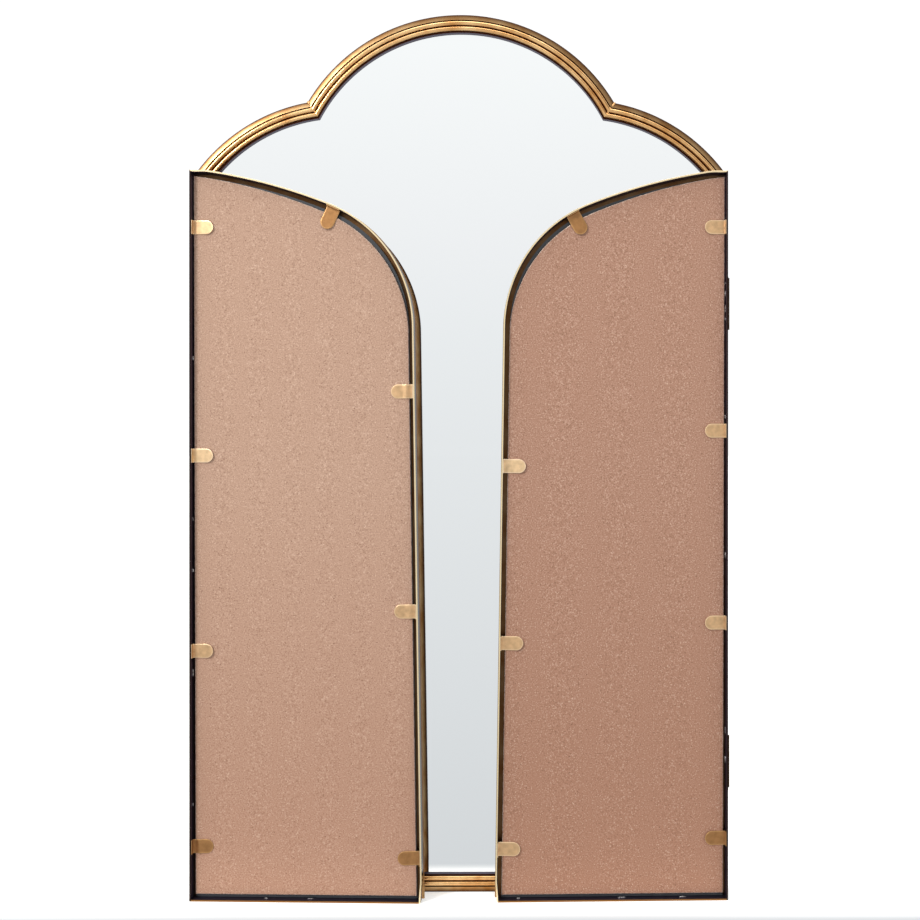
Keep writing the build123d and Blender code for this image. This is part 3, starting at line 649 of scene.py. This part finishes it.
solder = {
    "tin": "#B9B6B4", "flux": "#5A4B42", "patchMm": 1.5, "roughness": 0.45, "rings": 9, "sides": 12, "swell": 0.16,
    "stileInset": 3.3, "railInset": 1.5, "long": 1.8, "wide": 0.45, "seed": 3, "notchSeed": 5,
    "patchFrom": 0.42, "patchTo": 0.68, "swellLimit": 1.5, "pastBoard": 0.4,
    "longSpread": (0.5, 1.6), "wideSpread": (0.7, 1.3),
    "stile": {
        "left_wing": (0.13, 0.31, 0.45, 0.52, 0.74), "right_wing": (0.19, 0.23, 0.47, 0.66, 0.794, 0.808, 0.829, 0.843),
    },
    "rail": {"left_wing": (0.33, 0.52), "right_wing": (0.2, 0.46, 0.9)},
    "notchAt": (122.4, -6.6, 630.0), "notchRun": (0.575, -0.818),
    # each mound: along the mitre, aside of it, long, wide
    "mounds": ((1.5, 0.4, 2.2, 0.9), (6.4, -0.3, 1.7, 1.1), (8.9, 0.4, 1.4, 0.8), (12.6, 0.0, 1.5, 0.9)),
}


def softSolder(name, clean, dirty):
    # Tin solder left as it froze, bright where smooth and brown with burnt flux; on the front it is plated like brass
    material, tree, shader = startMaterial(name, Metallic=1.0, Roughness=solder["roughness"])
    place = addNode(tree, "ShaderNodeTexCoord").outputs["Object"]
    patches = {"Vector": place, "Scale": 1 / (solder["patchMm"] * mm), "Detail": 3.0}
    mottle = addNode(tree, "ShaderNodeTexNoise", patches)
    patch = addNode(tree, "ShaderNodeMapRange", {0: mottle, 1: solder["patchFrom"], 2: solder["patchTo"]})
    tones = {"Factor": patch, "A": hexToLinear(clean), "B": hexToLinear(dirty)}
    join(tree, addNode(tree, "ShaderNodeMix", tones, data_type="RGBA"), shader, "Base Color")
    return material


def makeLumps(name, centres, ways, sizes, body, material, seed):
    # squashed lumps: point = centre + long cos(p) way + wide sin(p)(cos(q) side + sin(q) back), swollen at random
    pose, random = poses[body], np.random.default_rng(seed)
    p = np.linspace(0, np.pi, solder["rings"])[None, :, None, None]
    q = np.linspace(0, 2 * np.pi, solder["sides"], endpoint=False)[None, None, :, None]
    centres, ways, sizes = (np.asarray(value, float)[:, None, None, :] for value in (centres, ways, sizes))
    aside = np.cross(ways, pose["back"])
    drawn = random.standard_normal((len(centres), solder["rings"], solder["sides"], 1))
    swell = 1 + solder["swell"] * drawn.clip(-solder["swellLimit"], solder["swellLimit"])
    ring = np.cos(q) * aside + np.sin(q) * pose["back"]
    shape = sizes[..., :1] * np.cos(p) * ways + sizes[..., 1:2] * np.sin(p) * ring
    points = centres + shape * np.where(np.sin(p) < 1e-6, 1.0, swell) * mm
    count, rings, sides = points.shape[:3]
    i, j = np.arange(rings - 1)[:, None], np.arange(sides)[None, :]
    nextJ = (j + 1) % sides
    quads = np.stack([i * sides + j, i * sides + nextJ, (i + 1) * sides + nextJ, (i + 1) * sides + j], axis=-1)
    faces = quads.reshape(1, -1, 4) + (np.arange(count) * rings * sides)[:, None, None]
    piece = meshFrom(name, points.reshape(-1, 3), faces.reshape(-1, 4), material)
    closeUp(piece)
    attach(piece, body)


def makeChannelSolder(body, material):
    # beads on the inside of the hinge stile's wall and of the bottom rail's, level with the board's back
    pose = poses[body]
    random = np.random.default_rng(solder["seed"] + len(body))
    height, width = wingArch["height"], wingArch["width"]
    z = np.array(solder["stile"][body]) * height
    inset = np.full_like(z, solder["stileInset"])
    x = np.array(solder["rail"][body]) * width
    onStile = np.stack([inset, z], axis=1)
    onRail = np.stack([x, np.full_like(x, solder["railInset"])], axis=1)
    flat = np.concatenate([onStile, onRail]) * mm
    hingeLine = float(pose["pin"] @ pose["across"])
    plan = np.stack([hingeLine - pose["side"] * (flat[:, 0] + wingArch["edgeFromPin"] * mm), flat[:, 1]], axis=1)
    centres = spaceOf(plan, np.full(len(plan), (section["boardBack"] + solder["pastBoard"]) * mm), pose)
    ways = np.concatenate([np.tile(pose["up"], (len(z), 1)), np.tile(pose["across"], (len(x), 1))])
    long = solder["long"] * random.uniform(*solder["longSpread"], len(plan))
    wide = solder["wide"] * random.uniform(*solder["wideSpread"], len(plan))
    sizes = np.stack([long, wide], axis=1)
    makeLumps(body + "_channel_solder", centres, ways, sizes, body, material, solder["seed"])


def makeNotchSolder(material):
    # small plated mounds over the two mitres between the top arch and the shoulders
    centres, ways, sizes = [], [], []
    for sign in (-1, 1):
        run = np.array([-sign * solder["notchRun"][0], 0.0, solder["notchRun"][1]])
        aside = np.cross(run, [0, 1, 0])
        outer = np.array(solder["notchAt"]) * [sign, 1, 1]
        for alongMm, asideMm, longMm, wideMm in solder["mounds"]:
            centres.append((outer + run * alongMm + aside * asideMm) * mm)
            ways.append(run)
            sizes.append((longMm, wideMm))
    makeLumps("notch_solder", centres, ways, sizes, "centre_panel", material, solder["notchSeed"])


tinSolder = softSolder("tinSolder", solder["tin"], solder["flux"])
for body in ("left_wing", "right_wing"):
    makeChannelSolder(body, tinSolder)
makeNotchSolder(softSolder("platedSolder", brass["polished"], brass["worn"]))
print("solder beads placed")

# The camera stands where the photograph's perspective puts it
camera = {
    "place": (74.74, -1101.4, 360.8), "yawDeg": 0.384, "focalPx": 1371.2, "framePx": 920,
    "middleRight": 103.9, "middleUp": 20.2,  # the photograph's optical centre, right of and above the frame's middle
}
lens = bpy.data.cameras.new("photoCamera")
lens.sensor_width = 36
lens.lens = 36 * camera["focalPx"] / camera["framePx"]
lens.shift_x = -camera["middleRight"] / camera["framePx"]
lens.shift_y = -camera["middleUp"] / camera["framePx"]
lens.clip_start, lens.clip_end = 0.05, 100
photoCamera = bpy.data.objects.new("photoCamera", lens)
photoCamera.location = [value * mm for value in camera["place"]]
photoCamera.rotation_euler = (radians(90), 0, radians(-camera["yawDeg"]))
bpy.context.scene.collection.objects.link(photoCamera)
bpy.context.scene.camera = photoCamera
bpy.context.scene.view_settings.view_transform = "Standard"

studio = {
    "floorRadius": 30.0, "floorRings": 60, "floorTurns": 96, "firstRing": 0.02, "closing": 1e-4,
    "floorWhite": "#F4F4F2", "whiteGlow": 0.4, "farGlow": (0.900, 0.915, 0.930),
    # nearShadeGlow is the floor's painted shade just ahead of the object
    "nearShadeGlow": (0.745, 0.765, 0.785), "whiteTo": 0.044, "greyFrom": 0.074, "cameraAhead": 1.1,
    "behindFrom": -0.15, "behindTo": 0.3, "skyStrength": 2.0,
    "frontSky": [
        (0.0, (0.900, 0.915, 0.930)), (0.07, (0.935, 0.95, 0.965)), (0.14, (0.985, 0.99, 1.005)),
        (0.28, (1.07, 1.08, 1.085)), (0.36, (0.30, 0.31, 0.33)), (0.60, (0.25, 0.25, 0.26)),
        (0.72, (1.5, 1.5, 1.5)), (1.0, (1.5, 1.5, 1.5)),
    ],
    "backSky": [(0.0, (1.06, 1.06, 1.06)), (0.45, (1.06, 1.06, 1.06)), (1.0, (1.4, 1.4, 1.4))],
    "key": {"place": (-1.5, -1.9, 1.75), "size": 0.55, "power": 48.0},
    "fill": {"place": (1.9, -1.7, 0.9), "size": 1.0, "power": 4.0},
    "top": {"place": (0.0, -0.1, 2.3), "size": 1.2, "power": 12.0},
}


def paintedFloor(name):
    # Matt white painted floor, lit evenly and glowing: white under the object and behind it, and ahead of it a pale
    # grey
    # glow that grows lighter with distance, the darker grey near the object being painted shade:
    # glow = far + (near - far) d / (d + y), d being the camera's distance and y how far ahead the point lies
    material, tree, shader = startMaterial(name, Roughness=1.0, Specular_IOR_Level=0.0, Emission_Strength=1.0)
    place = addNode(tree, "ShaderNodeTexCoord").outputs["Object"]
    alongY = addNode(tree, "ShaderNodeSeparateXYZ", {0: place}).outputs["Y"]
    ends = {0: alongY, 1: -studio["whiteTo"], 2: -studio["greyFrom"]}
    ahead = addNode(tree, "ShaderNodeMapRange", ends, interpolation_type="SMOOTHSTEP")
    distance = addNode(tree, "ShaderNodeMath", {0: studio["cameraAhead"], 1: alongY}, operation="SUBTRACT")
    ratio = {0: studio["cameraAhead"], 1: distance}
    nearness = addNode(tree, "ShaderNodeMath", ratio, operation="DIVIDE", use_clamp=True)
    greys = {"Factor": nearness, "A": (*studio["farGlow"], 1.0), "B": (*studio["nearShadeGlow"], 1.0)}
    grey = addNode(tree, "ShaderNodeMix", greys, data_type="RGBA")
    white = hexToLinear(studio["floorWhite"])
    glow = {"Factor": ahead, "A": (*(studio["whiteGlow"] * channel for channel in white[:3]), 1.0), "B": grey}
    join(tree, addNode(tree, "ShaderNodeMix", glow, data_type="RGBA"), shader, "Emission Color")
    paintTone = addNode(tree, "ShaderNodeMix", {"Factor": ahead, "A": white, "B": (0, 0, 0, 1)}, data_type="RGBA")
    join(tree, paintTone, shader, "Base Color")
    return material


def makeFloor():
    # a round floor: rings of radius R u^2 for u from 0 to 1, flat at z = 0, its first ring shrunk to close the middle
    u = np.linspace(studio["firstRing"], 1, studio["floorRings"])[:, None] ** 2 * studio["floorRadius"]
    turn = np.linspace(0, 2 * np.pi, studio["floorTurns"], endpoint=False)[None, :]
    points = np.stack([u * np.cos(turn), u * np.sin(turn), 0 * u * turn], axis=-1)
    points[0, :, :2] *= studio["closing"]
    gridMesh("studioFloor", points, paintedFloor("paintedStudioFloor"), closedAcross=True)


def areaLight(name, place, size, power, target=(0, 0, 0.35)):
    # a square soft light that looks at the target
    data = bpy.data.lights.new(name, "AREA")
    data.shape, data.size, data.energy = "SQUARE", size, power
    lamp = bpy.data.objects.new(name, data)
    lamp.location = place
    aim = lamp.location.copy()
    aim.x, aim.y, aim.z = (t - p for t, p in zip(target, place))
    lamp.rotation_euler = aim.to_track_quat("-Z", "Y").to_euler()
    bpy.context.scene.collection.objects.link(lamp)


def makeSky():
    # a soft room: brightness follows sin(elevation), one ramp before the object and one behind it; a ramp holds
    # tone / strength, and the strength multiplies it back
    strength = studio["skyStrength"]
    world = bpy.data.worlds.new("softRoom")
    bpy.context.scene.world = world
    world.use_nodes = True
    tree = world.node_tree
    tree.nodes.clear()
    parts = addNode(tree, "ShaderNodeSeparateXYZ", {0: addNode(tree, "ShaderNodeTexCoord").outputs["Generated"]})
    halves = []
    for key in ("frontSky", "backSky"):
        ramp = addNode(tree, "ShaderNodeValToRGB", {"Fac": parts.outputs["Z"]})
        band = ramp.color_ramp.elements
        while len(band) < len(studio[key]):
            band.new(0.5)
        for element, (position, tone) in zip(band, studio[key]):
            element.position, element.color = position, (*(level / strength for level in tone), 1.0)
        halves.append(ramp)
    ends = {0: parts.outputs["Y"], 1: studio["behindFrom"], 2: studio["behindTo"]}
    behind = addNode(tree, "ShaderNodeMapRange", ends)
    colour = addNode(tree, "ShaderNodeMix", {"Factor": behind, "A": halves[0], "B": halves[1]}, data_type="RGBA")
    sky = addNode(tree, "ShaderNodeBackground", {"Color": colour, "Strength": strength})
    addNode(tree, "ShaderNodeOutputWorld", {"Surface": sky})


makeFloor()
makeSky()
for name in ("key", "fill", "top"):
    areaLight(name + "Light", **studio[name])
print("studio and camera ready")
